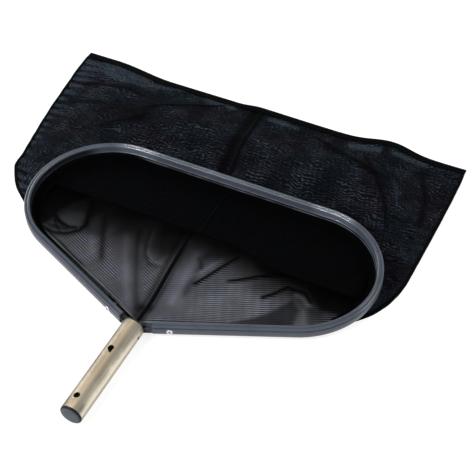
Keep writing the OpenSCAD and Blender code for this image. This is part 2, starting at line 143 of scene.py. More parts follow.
class Wire:
    def __init__(self, finish, socket):
        self.finish = finish
        self.socket = socket

    def maths(self, operation, *values):
        return self.finish.node("ShaderNodeMath", {"operation": operation}, dict(enumerate(values)))

    def __add__(self, other):
        return self.maths("ADD", self, other)

    def __radd__(self, other):
        return self.maths("ADD", other, self)

    def __sub__(self, other):
        return self.maths("SUBTRACT", self, other)

    def __rsub__(self, other):
        return self.maths("SUBTRACT", other, self)

    def __mul__(self, other):
        return self.maths("MULTIPLY", self, other)

    def __rmul__(self, other):
        return self.maths("MULTIPLY", other, self)

    def __pow__(self, other):
        return self.maths("POWER", self, other)

    def sine(self):
        return self.maths("SINE", self)

    def size(self):
        return self.maths("ABSOLUTE", self)

    def above(self, low, high):
        # 0 at low, 1 at high, and soft between
        return self.finish.node("ShaderNodeMapRange", {"interpolation_type": "SMOOTHSTEP"},
                                {"Value": self, "From Min": low, "From Max": high})

    def below(self, low, high):
        return 1.0 - self.above(low, high)


class Finish:
    def __init__(self, name, **constants):
        self.material = bpy.data.materials.new(name)
        self.openTree(self.material, "Principled BSDF", constants)

    def openTree(self, owner, shaderName, constants):
        owner.use_nodes = True
        self.tree = owner.node_tree
        self.shader = self.tree.nodes[shaderName]
        self.connect(**constants)

    def feed(self, slot, value):
        if isinstance(value, Wire):
            self.tree.links.new(value.socket, slot)
        else:
            slot.default_value = value

    def node(self, kind, settings=None, sockets=None, output=0):
        made = self.tree.nodes.new(kind)
        for key, value in (settings or {}).items():
            if key == "stops":
                self.setStops(made.color_ramp.elements, value)
            else:
                setattr(made, key, value)
        for key, value in (sockets or {}).items():
            self.feed(made.inputs[key], value)
        return Wire(self, made.outputs[output])

    def setStops(self, elements, stops):
        for place, _ in stops[2:]:
            elements.new(place)
        for element, (place, shade) in zip(elements, stops):
            element.position = place
            element.color = (*shade, 1)

    def connect(self, **values):
        # values or wires for the shader's own sockets
        for key, value in values.items():
            self.feed(self.shader.inputs[key.replace("_", " ")], value)

    def objectPlace(self, scale=(1, 1, 1)):
        place = self.node("ShaderNodeTexCoord", output=3)
        return self.node("ShaderNodeMapping", {}, {"Vector": place, "Scale": scale})

    def uvPlace(self):
        return self.node("ShaderNodeUVMap", {"uv_map": "cut"})

    def split(self, vector):
        made = self.node("ShaderNodeSeparateXYZ", {}, {0: vector}).socket.node
        return [Wire(self, socket) for socket in made.outputs]

    def attribute(self, name):
        return self.node("ShaderNodeAttribute", {"attribute_name": name}, output=2)

    def noise(self, scale, detail, roughness=0.5, stretch=(1, 1, 1)):
        return self.node("ShaderNodeTexNoise", {}, {"Vector": self.objectPlace(stretch), "Scale": scale,
                                                    "Detail": detail, "Roughness": roughness})

    def mixColours(self, factor, low, high):
        low, high = (shade if isinstance(shade, Wire) else (*shade, 1) for shade in (low, high))
        return self.node("ShaderNodeMix", {"data_type": "RGBA"}, {0: factor, 6: low, 7: high}, 2)

    def bump(self, height, distance, strength):
        return self.node("ShaderNodeBump", {}, {"Height": height, "Distance": distance, "Strength": strength})


class Air(Finish):
    def __init__(self, name, **constants):
        self.world = bpy.data.worlds.new(name)
        self.openTree(self.world, "Background", constants)


def dress(piece, finish):
    piece.data.materials.clear()
    piece.data.materials.append(finish.material)


# finishes

def anodisedFinish():
    # the drawn tube's colour runs round it in soft bands of painted reflection: painted dark edges, a tan
    # band, a grey band and a cream painted highlight
    paintedReflectionBands = [(0.04, (0.125, 0.108, 0.083)), (0.20, (0.48, 0.405, 0.29)), (0.31, (0.82, 0.67, 0.47)),
             (0.37, (0.78, 0.63, 0.45)), (0.43, (0.55, 0.46, 0.33)), (0.52, (0.37, 0.315, 0.235)),
             (0.60, (0.26, 0.23, 0.18)), (0.70, (0.13, 0.124, 0.10)), (0.78, (0.37, 0.34, 0.28)),
             (0.86, (0.70, 0.63, 0.50)), (0.955, (0.34, 0.31, 0.25)), (1.0, (0.32, 0.29, 0.24))]
    acrossTube = (31.5, 1, 15.4)
    finish = Finish("champagneAnodised", Metallic=1.0)
    drawn = finish.noise(6, 3, 0.6, (260, 5, 260))            # lines drawn along the tube
    cloud = finish.noise(38, 3)
    specks = finish.noise(900, 2).above(0.66, 0.74)
    x, _, z = finish.split(finish.objectPlace(acrossTube))
    place = x - z + (cloud - 0.5) * 0.07 + (drawn - 0.5) * 0.05 + 0.5
    shade = drawn * 0.35 + cloud * 0.65
    colour = finish.node("ShaderNodeValToRGB", {"stops": paintedReflectionBands}, {"Fac": place})
    colour = finish.mixColours(shade.above(0.36, 0.64) * 0.22, colour, (0.86, 0.78, 0.62))
    colour = finish.mixColours(specks * 0.3, colour, (0.22, 0.17, 0.11))
    finish.connect(Base_Color=colour, Roughness=drawn * 0.14 + cloud * 0.12 + 0.36,
                   Normal=finish.bump(drawn, 0.00008, 0.5))
    return finish


def slateFinish():
    look = {"base": (0.070, 0.083, 0.108), "shade": (0.056, 0.067, 0.089), "rub": (0.14, 0.16, 0.19),
            "paintedBagReflection": (0.003, 0.0035, 0.005), "paintedLeftShade": (0.026, 0.031, 0.043), "paintedHighlight": (0.17, 0.19, 0.24)}
    insideCorner = {"x": -0.1408, "y": 0.3129, "reach": (0.0998, 0.1014), "lower": (0.0070, 0.0086),
                    "left": (-0.214, -0.190)}
    frontBends = {"start": (0.112, 0.126), "end": (0.165, 0.185), "front": (0.375, 0.40)}
    finish = Finish("slateCoat", Metallic=0.0, Coat_Roughness=0.10, Coat_IOR=1.7, Specular_IOR_Level=0.3)
    cloud = finish.noise(26, 4)
    grain = finish.noise(1500, 2)
    rubs = finish.noise(90, 5, 0.7, (1, 1, 3)).above(0.64, 0.72)
    x, y, z = finish.split(finish.objectPlace())
    radius = ((x - insideCorner["x"]) ** 2 + (y - insideCorner["y"]) ** 2) ** 0.5
    # painted reflection: inside the left corner the strip is painted near black for the dark bag it mirrors
    inner = radius.below(*insideCorner["reach"]) * z.below(*insideCorner["lower"])
    inner = inner * x.below(*insideCorner["left"])
    # the two bends of the bar have a glossier coat and a painted highlight in their colour
    bends = x.size().above(*frontBends["start"]) * x.size().below(*frontBends["end"])
    polishAndHighlight = bends * y.above(*frontBends["front"])
    paintedLeftShade = x.below(-0.06, -0.01) * y.below(0.27, 0.33)        # painted shade: the left arm is painted darker
    colour = finish.mixColours(cloud.above(0.35, 0.65), look["shade"], look["base"])
    layers = {"rub": rubs * 0.3, "paintedLeftShade": paintedLeftShade * 0.42, "paintedHighlight": polishAndHighlight * 0.4, "paintedBagReflection": inner * 0.9}
    for shade, amount in layers.items():
        colour = finish.mixColours(amount, colour, look[shade])
    finish.connect(Base_Color=colour, Roughness=cloud * 0.1 + grain * 0.08 + 0.22,
                   Coat_Weight=(polishAndHighlight * 0.8 + cloud * 0.15 + 0.1) * (1 - inner),
                   Normal=finish.bump(grain, 0.00003, 0.6))
    return finish


def plasticFinish(name, look, gloss, cloudLook=(60, 3), secondMask=None):
    finish = Finish(name, Specular_IOR_Level=gloss)
    grain = finish.noise(1900, 3)
    cloud = finish.noise(*cloudLook)
    colour = finish.mixColours(cloud.above(*look.get("span", (0.4, 0.7))), look["base"], look["light"])
    if secondMask:
        x, _, z = finish.split(finish.objectPlace((1000, 1000, 1000)))
        colour = finish.mixColours(secondMask(x, z, cloud), colour, look["secondColour"])
    finish.connect(Base_Color=colour, Roughness=grain * 0.14 + cloud * 0.1 + 0.3,
                   Normal=finish.bump(grain, 0.00005, 0.7))
    return finish


def plugRim(x, z, cloud):
    # the rim and the skirt are black round the lighter face
    return ((x * x + z * z) ** 0.5 + cloud * 0.5).above(12.2, 12.9)


def yokeRibs(x, _, cloud):
    # painted highlight: the ribs outside the tube are painted pale grey where they catch the light
    return x.above(15.0, 17.5) * (cloud * 0.6 + 0.5)


def bareMetalFinish(name, base, shade, roughness):
    finish = Finish(name, Metallic=1.0)
    marks = finish.noise(420, 4, 0.65)
    dirt = finish.noise(160, 3).above(0.5, 0.75)
    finish.connect(Base_Color=finish.mixColours(dirt * 0.6, base, shade),
                   Roughness=marks * 0.22 + (roughness - 0.08), Normal=finish.bump(marks, 0.00004, 0.5))
    return finish


def netFinish(name, look):
    # woven mesh: the weave and its rows let the ground through; the threads' glints and sheen are painted
    # highlights, and where the shine is low the threads are painted dark as unlit
    unlit = (0.0005, 0.0006, 0.0008)
    finish = Finish(name, Specular_IOR_Level=0.02)
    across, along, _ = finish.split(finish.uvPlace())
    opening, shine, rowed = [finish.attribute(key) for key in ("opening", "shine", "rows")]
    drift = finish.noise(look["driftScale"], 2)
    fine = finish.noise(look["fineScale"], 2)
    warp, weft = [(way * (math.pi / look["pitch"])).sine().size() for way in (across, along)]
    holes = warp * weft
    rows = (along * (2 * math.pi / look["rowPitch"]) + drift * look["drift"] + fine * look["fine"]).sine()
    ribs = (across * (2 * math.pi / look["ribPitch"]) + drift * look["drift"] * 0.7).sine()
    swirl = rows * (1 - look["ribShare"]) + ribs * look["ribShare"]
    patches = finish.noise(31, 3, 0.6).above(0.38, 0.62)
    depth = (patches * look["rowDepth"] + look["rowDepth"] * 0.6) * rowed
    clear = (holes * 0.9 + 0.62) * (swirl * depth + 1.0) * opening * look["clear"]
    tint = finish.noise(15, 2).above(0.38, 0.62)
    thread = finish.mixColours(tint, look["cool"], look["warm"])
    grit = finish.noise(480, 2, 0.6, (0.6, 1.4, 1)).above(0.40, 0.62)
    crisp = grit * look["grit"] + (1 - look["grit"] * 0.5)
    glint = (swirl.above(0.12, 0.85) + look["sheen"]) * shine * (patches * 0.7 + 0.3) * crisp
    lit = finish.mixColours(glint * look["glint"], thread, look["light"])
    # painted highlight: where the shine runs high the threads are painted pale
    lit = finish.mixColours(shine.above(1.25, 3.2) * 0.45 * crisp, lit, look["light"])
    finish.connect(Base_Color=finish.mixColours(shine, unlit, lit), Alpha=1.0 - clear,
                   Roughness=holes * 0.2 + 0.6, Normal=finish.bump((1.0 - holes) + rows * 0.4, 0.0003, 0.6))
    return finish


def tapeFinish():
    look = {"twillPitch": 0.0011, "stitchPitch": 0.0036, "dark": (0.0008, 0.0009, 0.0012),
            "light": (0.0030, 0.0032, 0.0040), "inside": (0.0001, 0.0001, 0.0002),
            "thread": (0.007, 0.0075, 0.009)}
    slack = {"start": (0.317, 0.325), "end": (0.398, 0.415), "halfWidth": (0.03, 0.05)}
    finish = Finish("blackTape", Specular_IOR_Level=0.03)
    across, along, _ = finish.split(finish.uvPlace())
    twill = ((along + across * 0.8) * (2 * math.pi / look["twillPitch"])).sine()
    edge = ((across - along * 0.8) * (2 * math.pi / look["twillPitch"])).sine()
    fuzz = finish.noise(1400, 3)
    weave = twill * 0.3 + edge * 0.2 + 0.5
    stitch = (along * (2 * math.pi / look["stitchPitch"])).sine().above(-0.2, 0.5) * finish.attribute("stitch")
    # painted shade: the upper centre seam is painted darker where it lies under the slack and the bar
    x, y, _ = finish.split(finish.objectPlace())
    inside = y.above(*slack["start"]) * y.below(*slack["end"]) * x.size().below(*slack["halfWidth"])
    colour = finish.mixColours(weave * fuzz * (1 - inside * 0.9), look["dark"], look["light"])
    colour = finish.mixColours(inside * 0.8, colour, look["inside"])
    colour = finish.mixColours(stitch * 0.7, colour, look["thread"])
    finish.connect(Base_Color=colour, Roughness=fuzz * 0.2 + 0.62,
                   Normal=finish.bump(weave + stitch, 0.0003, 0.7))
    return finish


champagne = anodisedFinish()
slate = slateFinish()
blackPlastic = plasticFinish("blackPlastic", {
    "base": (0.0060, 0.0068, 0.0088), "light": (0.020, 0.023, 0.029)}, 0.4)
plugPlastic = plasticFinish("plugPlastic", {
    "base": (0.052, 0.064, 0.086), "light": (0.075, 0.088, 0.112), "secondColour": (0.0035, 0.0040, 0.0055),
    "span": (0.35, 0.7)}, 0.2, (170, 4, 0.6), plugRim)
yokePlastic = plasticFinish("yokePlastic", {
    "base": (0.0040, 0.0046, 0.0060), "light": (0.009, 0.010, 0.013), "secondColour": (0.050, 0.057, 0.070)},
    0.4, secondMask=yokeRibs)
bareAluminium = bareMetalFinish("bareAluminium", (0.66, 0.67, 0.70), (0.36, 0.37, 0.39), 0.36)
plainSteel = bareMetalFinish("plainSteel", (0.16, 0.16, 0.17), (0.06, 0.06, 0.065), 0.4)
commonNet = {"pitch": 0.00115, "rowPitch": 0.0034, "ribPitch": 0.012, "drift": 3.0, "driftScale": 9,
             "fineScale": 80}
lowerNet = netFinish("lowerNet", {
    **commonNet, "ribShare": 0.08, "rowDepth": 0.76, "fine": 0.7, "clear": 0.076, "glint": 0.62, "sheen": 0.35,
    "grit": 0.5, "cool": (0.0030, 0.0048, 0.0095), "warm": (0.0052, 0.0034, 0.0068),
    "light": (0.036, 0.050, 0.094)})
upperNet = netFinish("upperNet", {
    "pitch": 0.00115, "rowPitch": 0.0046, "ribPitch": 0.0062, "ribShare": 0.2, "rowDepth": 0.9, "drift": 30.0,
    "fine": 34.0, "driftScale": 6, "fineScale": 46, "clear": 0.064, "glint": 0.52, "sheen": 0.05, "grit": 1.15,
    "cool": (0.0016, 0.0028, 0.0046), "warm": (0.0034, 0.0018, 0.0036), "light": (0.056, 0.077, 0.100)})
hemNet = netFinish("hemNet", {
    **commonNet, "ribShare": 0.1, "rowDepth": 0.35, "fine": 0.6, "clear": 0.42, "glint": 1.0, "sheen": 0.3,
    "grit": 0.0, "cool": (0.0012, 0.0015, 0.0022), "warm": (0.0024, 0.0017, 0.0024),
    "light": (0.16, 0.18, 0.22)})
blackTape = tapeFinish()
print("finishes made")


# the hoop: one strip section, carried round its path

hoop = {"width": 495.6, "angle": 23.5, "corner": 107.0, "apex": 135.0, "underside": -5.4, "start": 26.5,
        "lead": 4.0, "cornerSteps": 72}
slope = math.radians(hoop["angle"])
halfBar = hoop["width"] / 2 - hoop["corner"]
cornerY = (hoop["corner"] + halfBar * math.sin(slope)) / math.cos(slope)
sideLen = halfBar * math.cos(slope) + cornerY * math.sin(slope)
cornerSweep = 180 - hoop["angle"]
cornerLen = hoop["corner"] * math.radians(cornerSweep)
halfLen = sideLen + cornerLen + halfBar
barY = hoop["apex"] + cornerY + hoop["corner"]


def hoopPoint(s, inset):
    # a point s along the right half of the outline from the apex, inset from the outer face
    s, inset = np.broadcast_arrays(np.asarray(s, float), np.asarray(inset, float))
    turn = slope - math.pi / 2 + (s - sideLen) / hoop["corner"]
    side = (s * math.cos(slope) - inset * math.sin(slope),
            hoop["apex"] + s * math.sin(slope) + inset * math.cos(slope))
    bend = (halfBar + (hoop["corner"] - inset) * np.cos(turn),
            hoop["apex"] + cornerY + (hoop["corner"] - inset) * np.sin(turn))
    bar = (halfLen - s, barY - inset)
    onSide, onBend = s < sideLen, s < sideLen + cornerLen
    return np.stack([np.where(onSide, side[k], np.where(onBend, bend[k], bar[k])) for k in (0, 1)], -1)


def wholePoint(s, inset):
    # the same for the whole outline: s runs from the right end round to the left end
    s = np.asarray(s, float)
    point = hoopPoint(np.minimum(s, 2 * halfLen - s), inset)
    return point * np.stack([np.where(s <= halfLen, 1.0, -1.0), np.ones_like(s)], -1)


def stripOutline():
    # offsets outwards and up from the strip's lower outer edge, whose face bulges by a 16 mm radius
    heights = (0.5, 1.6, 2.8, 4.0, 5.1, 6.2, 7.4, 8.5, 9.2)
    belly = [(math.sqrt(16 ** 2 - (h - 5.1) ** 2) - 16, h) for h in heights]
    return [
        (-1.2, 0.05), (-0.9, 0.18), *belly, (-0.7, 9.3), (-1.3, 9.42), (-1.45, 9.6), (-1.45, 12.2),
        (-1.3, 12.5), (-0.32, 12.68), *arc((-1.6, 13.3), 1.6, -20, 152, 14), (-3.15, 13.98), (-3.65, 13.98),
        *arc((-5.8, 13.4), 2.1, 18, 180, 16), (-7.9, 10.5), (-7.9, 8.0), (-7.9, 5.8),
        *arc((-7.6, 4.8), 0.8, 118, 262, 10), (-7.2, 4.0), (-6.5, 4.02), (-6.5, 8.2), (-1.3, 8.2), (-1.3, 2.0),
        (-6.5, 2.0), (-6.5, 2.38), (-7.2, 2.4), *arc((-7.6, 1.6), 0.8, 98, 240, 10),
        *arc((-6.9, 1.0), 1.0, 196, 268, 6), (-4.0, 0.0)]


def selectEnd(piece, side):
    # the open edges of one cut end
    edit = bmesh.from_edit_mesh(piece.data)
    for edge in edit.edges:
        edge.select = False
    for edge in edit.edges:
        if edge.is_boundary and edge.verts[0].co.x * side > 0:
            edge.select_set(True)
    bmesh.update_edit_mesh(piece.data)


def makeHoop():
    along, out = (math.cos(slope), math.sin(slope)), (math.sin(slope), -math.cos(slope))
    start = hoopPoint(hoop["start"], 0)
    outline = [((start[0] + x * out[0]) * mm, (start[1] + x * out[1]) * mm, (hoop["underside"] + h) * mm)
               for x, h in stripOutline()]
    piece = drawOutline("hoopStrip", outline)
    selectWhole("EDGE")
    run = (sideLen - hoop["start"]) * mm

    def goStraight(direction, length):
        extrudeBy((direction[0] * length, direction[1] * length, 0))

    def goRound(side):
        middle = (side * halfBar * mm, (hoop["apex"] + cornerY) * mm, 0)
        bpy.ops.mesh.spin(steps=hoop["cornerSteps"], angle=-math.radians(cornerSweep), center=middle,
                          axis=(0, 0, 1))

    goStraight(along, run)
    goRound(1)
    goStraight((-1, 0), 2 * halfBar * mm)
    goRound(-1)
    goStraight((along[0], -along[1]), run + hoop["lead"] * mm)
    tidyShell(piece, weldDistance)
    # the two cut ends
    editMode(piece, "EDGE")
    bpy.ops.mesh.select_non_manifold(extend=False, use_boundary=True, use_wire=False, use_multi_face=False,
                                     use_non_contiguous=False, use_verts=False)
    for side in (1, -1):
        selectEnd(piece, side)
        bpy.ops.mesh.edge_face_add()
    tidyShell(piece, weldDistance)
    smoothByAngle(piece, 28)
    dress(piece, slate)
    return piece


hoopStrip = makeHoop()
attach(hoopStrip, "root")
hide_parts("hoop")
print("hoop done")


# handle tube, plug and pin

tube = {"radius": 14.3, "wall": 1.3, "length": 142.0, "holes": (17.8, 94.0), "holeRadius": 4.0, "turn": 7.0,
        "tail": 7.0, "pin": 129.6, "pinRadius": 2.05, "steps": 144}


def lathe(name, profile, steps):
    # the profile is radius against y, spun round the handle's axis
    piece = drawOutline(name, [(r * mm, y * mm, 0) for r, y in profile])
    selectWhole("EDGE")
    bpy.ops.mesh.spin(steps=steps, angle=2 * math.pi, center=(0, 0, 0), axis=(0, 1, 0))
    tidyShell(piece, weldDistance)
    return piece


def boreCutter(name, y, radius, sides, rotation=(0, 0, 0)):
    deselectAll()
    bpy.ops.mesh.primitive_cylinder_add(vertices=sides, radius=radius * mm, depth=0.04,
                                        location=(0, y * mm, 0), rotation=rotation)
    return settle(named(name))


def turnAboutHandle(piece, degrees):
    # degrees about +Y
    c, s = math.cos(math.radians(degrees)), math.sin(math.radians(degrees))
    for vert in piece.data.vertices:
        x, y, z = vert.co
        vert.co = (x * c + z * s, y, -x * s + z * c)
    piece.data.update()


def makeTube():
    outer, inner, end = tube["radius"], tube["radius"] - tube["wall"], tube["length"]
    profile = [(outer, 0.35), (outer, end - 0.3), (outer - 0.1, end - 0.1), (outer - 0.3, end),
               (inner + 0.25, end), (inner, end - 0.25), (inner, 0.25), (inner + 0.25, 0), (outer - 0.35, 0),
               (outer - 0.1, 0.1)]
    piece = lathe("handleTube", profile, tube["steps"])
    cutters = [boreCutter("holeCutter", y, tube["holeRadius"], 48) for y in tube["holes"]]
    tail = tube["tail"]
    # a small tail is cut from the inner hole
    cut = drawOutline("tailCutter", [(x * mm, (tube["holes"][1] + y) * mm, 0.008)
                                     for x, y in ((-2.4, -3), (1.6, -tail), (3.6, -tail + 0.6), (3.6, -1))])
    bpy.ops.mesh.edge_face_add()
    extrudeBy((0, 0, 0.01))
    tidyShell(cut)
    cutters.append(cut)
    for cutter in cutters:
        turnAboutHandle(cutter, -tube["turn"])
    cutters.append(boreCutter("pinCutter", tube["pin"], tube["pinRadius"], 32, (0, math.pi / 2, 0)))
    for cutter in cutters:
        modify(piece, "BOOLEAN", object=cutter, operation="DIFFERENCE", solver="EXACT")
        bpy.data.objects.remove(cutter)
    smoothByAngle(piece, 30)
    dress(piece, champagne)
    return piece


def makePlug():
    profile = [(0.001, -3.4), (6.0, -3.36), (9.4, -3.2), (11.6, -2.86), (12.9, -2.35), (13.6, -1.8),
               (14.0, -1.2), (14.1, -0.9), (14.1, 0.0), (12.75, 0.0), (12.75, 11.6), (12.4, 12.0),
               (11.5, 12.0), (11.15, 11.7), (11.15, 0.4), (0.001, 0.2)]
    piece = lathe("endPlug", profile, 96)
    smoothByAngle(piece, 40)
    dress(piece, plugPlastic)
    return piece


handleTube = makeTube()
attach(handleTube, "root")
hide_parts("handle_tube")
endPlug = makePlug()
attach(endPlug, "root")
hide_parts("end_plug")
print("handle done")


# yoke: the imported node's own shape with its edges eased

def roundedCopy(node, name, width):
    deselectAll()
    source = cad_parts[node]
    piece = source.copy()
    piece.data = source.data.copy()
    piece.parent = None
    piece.name = piece.data.name = name
    bpy.context.scene.collection.objects.link(piece)
    piece.hide_render = piece.hide_viewport = False
    piece.matrix_world = source.matrix_world
    settle(piece)
    editMode(piece)
    bpy.ops.mesh.select_all(action="SELECT")
    bpy.ops.mesh.remove_doubles(threshold=weldDistance)
    bpy.ops.mesh.dissolve_limited(angle_limit=math.radians(1))
    objectMode()
    modify(piece, "BEVEL", width=width, segments=2, limit_method="ANGLE", angle_limit=math.radians(40))
    smoothByAngle(piece, 40)
    return piece


yokeBody = roundedCopy("yoke", "yokeBody", 0.00025)
dress(yokeBody, yokePlastic)
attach(yokeBody, "root")
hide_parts("yoke")


# blind rivets through the strip's ends

rivet = {"along": 47.4, "head": 4.0, "rise": 1.15, "shank": 1.95, "bulb": 2.95, "grip": 8.4, "height": 5.1}


def makeRivet(side):
    head, rise, shank, bulb, grip = (rivet[key] for key in ("head", "rise", "shank", "bulb", "grip"))
    profile = [(1.55, 0.2), (1.55, rise * 0.86), (1.8, rise), (2.3, rise * 0.95), (3.0, rise * 0.7),
               (3.6, rise * 0.4), (head, 0.12), (head, 0.0), (shank, -0.02), (shank, -grip),
               (bulb, -grip - 0.3), (bulb, -grip - 1.9), (2.0, -grip - 2.4), (1.05, -grip - 2.4)]
    piece = lathe("hoopRivet", profile, 40)
    middle = hoopPoint(rivet["along"], 0)
    out = (math.sin(slope) * side, -math.cos(slope))
    along = (-out[1], out[0])
    for vert in piece.data.vertices:
        x, y, z = vert.co
        vert.co = (middle[0] * side * mm + out[0] * y + along[0] * x,
                   middle[1] * mm + out[1] * y + along[1] * x, (hoop["underside"] + rivet["height"]) * mm + z)
    tidyShell(piece, 0.000002)
    smoothByAngle(piece, 50)
    return piece


rivets = [makeRivet(1), makeRivet(-1)]
makeActive(rivets[0])
rivets[1].select_set(True)
bpy.ops.object.join()
hoopRivets = named("hoopRivets")
dress(hoopRivets, bareAluminium)
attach(hoopRivets, "root")
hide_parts("hoop_rivets")
for node in ("hoop_rivet_mandrels", "stem_pin"):
    dress(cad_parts[node], plainSteel)
dress(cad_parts["hem_bead"], blackPlastic)
print("yoke and rivets done")


# the bag's plan, in millimetres

bag = {"reach": 577.0, "halfWidth": 298.0, "shift": 33.0, "seamEnd": 39.0, "seamStart": 3.0, "seamWidth": 5.0,
       "edgeAngle": 20.0, "edgeBlend": 30, "fall": 45.0, "lowerZ": -13.95, "hemZ": -6.2, "hemIn": 17.4,
       "loft": 17.0, "lowerSide": 52.0, "upperSide": 38.0, "foldRadius": 1.9}
rearRight = {"bulge": 12.5, "place": 0.64, "width": 0.12, "sag": 1.5}
rearLeft = {"start": -4.3, "startOver": 0.12, "end": 6.2, "from": 0.5, "over": 0.35}
sideBulges = {1: (24, 0.3), -1: (45, 0.18)}


def soft(value):
    k = np.clip(value, 0, 1)
    return k * k * (3 - 2 * k)


def cornerS(angle):
    return sideLen + hoop["corner"] * math.radians(90 - hoop["angle"] - angle)


def sideCross(x, inset):
    return (x + inset * math.sin(slope)) / math.cos(slope)


def seamEdge(t, side):
    middle = -bag["seamStart"] + (bag["seamStart"] - bag["seamEnd"]) * t
    return middle + side * bag["seamWidth"] / 2


def rearWave(u, side):
    if side > 0:
        bulge = rearRight["bulge"] * np.exp(-((u - rearRight["place"]) / rearRight["width"]) ** 2)
        return bulge - rearRight["sag"] * np.sin(np.pi * u)
    start = rearLeft["start"] * soft(u / rearLeft["startOver"])
    return start + (rearLeft["end"] - start) * soft((u - rearLeft["from"]) / rearLeft["over"])


def rearPoint(u, side):
    end = side * bag["halfWidth"] - bag["shift"]
    return np.stack([seamEdge(1, side) + (end - seamEdge(1, side)) * u, bag["reach"] + rearWave(u, side)], -1)


# the left side turns its corner in a few short straight runs
leftCorner = [(0.0, 0.0), (0.04, -0.5), (0.078, -0.4), (0.097, -1.5), (0.118, -2.6), (0.139, -2.5),
              (0.163, -1.3), (0.188, 1.7), (0.217, 2.0), (0.25, 0.2), (0.5, 1.4), (0.6, 1.4), (0.75, 0.2),
              (1.0, 0.2)]


def sidePoint(t, side, start):
    edge = hoopPoint(cornerS(bag["edgeAngle"]), 0) * (side, 1)
    rear = rearPoint(np.array(1.0), side)
    bulge, peak = sideBulges[side]
    out = bulge * np.sin(np.pi / 2 * np.minimum(1, t / peak)) * (1 - t) ** 0.75
    if side < 0:
        out += np.interp(t, *zip(*leftCorner))
    out = out * side
    t = t[..., None]
    straight = edge + (rear - edge) * t
    return straight + np.stack([out, 0 * out], -1) + (start - edge) * (1 - t) ** bag["edgeBlend"]


def plan(u, t, side, mouth, mouthStart, mouthEnd):
    # blends the centre seam, the side, the mouth and the rear seam
    centre = np.stack([mouthStart[0] + (seamEdge(1, side) - mouthStart[0]) * t,
                       mouthStart[1] + (bag["reach"] - mouthStart[1]) * t], -1)
    sides = sidePoint(t, side, mouthEnd)
    rear, rearStart, rearEnd = (rearPoint(k, side) for k in (u, np.array(0.0), np.array(1.0)))
    u, t = u[..., None], t[..., None]
    return ((1 - u) * centre + u * sides + (1 - t) * mouth + t * rear - (1 - u) * (1 - t) * mouthStart
            - u * (1 - t) * mouthEnd - (1 - u) * t * rearStart - u * t * rearEnd)


def ripple(x, y, seed, size, count=9):
    # gentle random waves, the same in every run
    rng = np.random.default_rng(seed)
    total = np.zeros_like(x)
    for _ in range(count):
        angle, phase = rng.uniform(0, np.pi), rng.uniform(0, 2 * np.pi)
        length = size * rng.uniform(0.6, 1.6)
        total += np.sin((x * np.cos(angle) + y * np.sin(angle)) * 2 * np.pi / length + phase)
    return total / math.sqrt(count)


def nearLine(x, y, line):
    # distance to a line of points, and how far along it, from 0 to 1
    line = np.array(line, float)
    lengths = np.hypot(*(line[1:] - line[:-1]).T)
    total = lengths.sum()
    best, place, before = np.full(x.shape, 1e9), np.zeros(x.shape), 0.0
    for start, end, length in zip(line, line[1:], lengths):
        step = end - start
        k = np.clip(((x - start[0]) * step[0] + (y - start[1]) * step[1]) / length ** 2, 0, 1)
        away = np.hypot(x - start[0] - k * step[0], y - start[1] - k * step[1])
        closer = away < best
        best = np.where(closer, away, best)
        place = np.where(closer, (before + k * length) / total, place)
        before += length
    return best, place


def fold(line, width, opened, lift=0, rows=1, ends=0.18):
    # a crease along a line: ends is the share of it over which it fades out
    return {"line": line, "width": width, "open": opened, "lift": lift, "rows": rows, "ends": ends}


def area(outline, softness, opened=1, rows=1):
    return {"area": outline, "soft": softness, "open": opened, "lift": 0, "rows": rows}


def crease(x, y, mark):
    away, place = nearLine(x, y, mark["line"])
    ends = mark["ends"]
    fade = soft(place / ends) * soft((1 - place) / ends) if ends else 1.0
    return np.exp(-(away / mark["width"]) ** 2) * fade


def insideArea(x, y, outline):
    corners = np.array(outline, float)
    inside = np.zeros(x.shape, bool)
    for start, end in zip(corners, np.roll(corners, -1, 0)):
        crosses = (start[1] > y) != (end[1] > y)
        rise = end[1] - start[1] if end[1] != start[1] else 1e-9
        inside ^= crosses & (x < start[0] + (y - start[1]) * (end[0] - start[0]) / rise)
    return inside


def pool(x, y, mark):
    # 1 well inside the area, 0 well outside it
    away, _ = nearLine(x, y, [*mark["area"], mark["area"][0]])
    signed = np.where(insideArea(x, y, mark["area"]), away, -away)
    return soft(signed / mark["soft"] + 0.5)


def applyCreases(grid, layers, marks):
    # a mark may lift the cloth, open or close its weave and smooth its rows out
    x, y = grid[..., 0].copy(), grid[..., 1].copy()
    for mark in marks:
        strength = pool(x, y, mark) if "area" in mark else crease(x, y, mark)
        grid[..., 2] += mark["lift"] * strength
        for key, layer in layers.items():
            layer *= 1 + (mark[key] - 1) * strength


def sheetFromGrid(name, grid, cut, values):
    # grid is rows x columns x 3 in millimetres, cut the flat place of each point for the weave
    rows, cols = grid.shape[:2]
    mesh = bpy.data.meshes.new(name)
    index = np.arange(rows * cols).reshape(rows, cols)
    faces = np.stack([index[:-1, :-1], index[:-1, 1:], index[1:, 1:], index[1:, :-1]], -1).reshape(-1, 4)
    mesh.from_pydata((grid.reshape(-1, 3) * mm).tolist(), [], faces.tolist())
    uv = mesh.uv_layers.new(name="cut")
    uv.data.foreach_set("uv", (cut.reshape(-1, 2) * mm)[faces.reshape(-1)].ravel())
    for key, value in values.items():
        layer = mesh.attributes.new(key, "FLOAT", "POINT")
        layer.data.foreach_set("value", value.ravel().astype(np.float32))
    piece = bpy.data.objects.new(name, mesh)
    bpy.context.scene.collection.objects.link(piece)
    makeActive(piece)
    bpy.ops.object.shade_smooth()
    if mesh.polygons[len(mesh.polygons) // 2].normal.z < 0:
        mesh.flip_normals()
    return piece


def turned(points, degrees):
    a = math.radians(degrees)
    return np.stack([points[..., 0] * math.cos(a) + points[..., 1] * math.sin(a),
                     -points[..., 0] * math.sin(a) + points[..., 1] * math.cos(a)], -1)


# lower mesh: falls from the hem to the floor and runs back to the rear seam

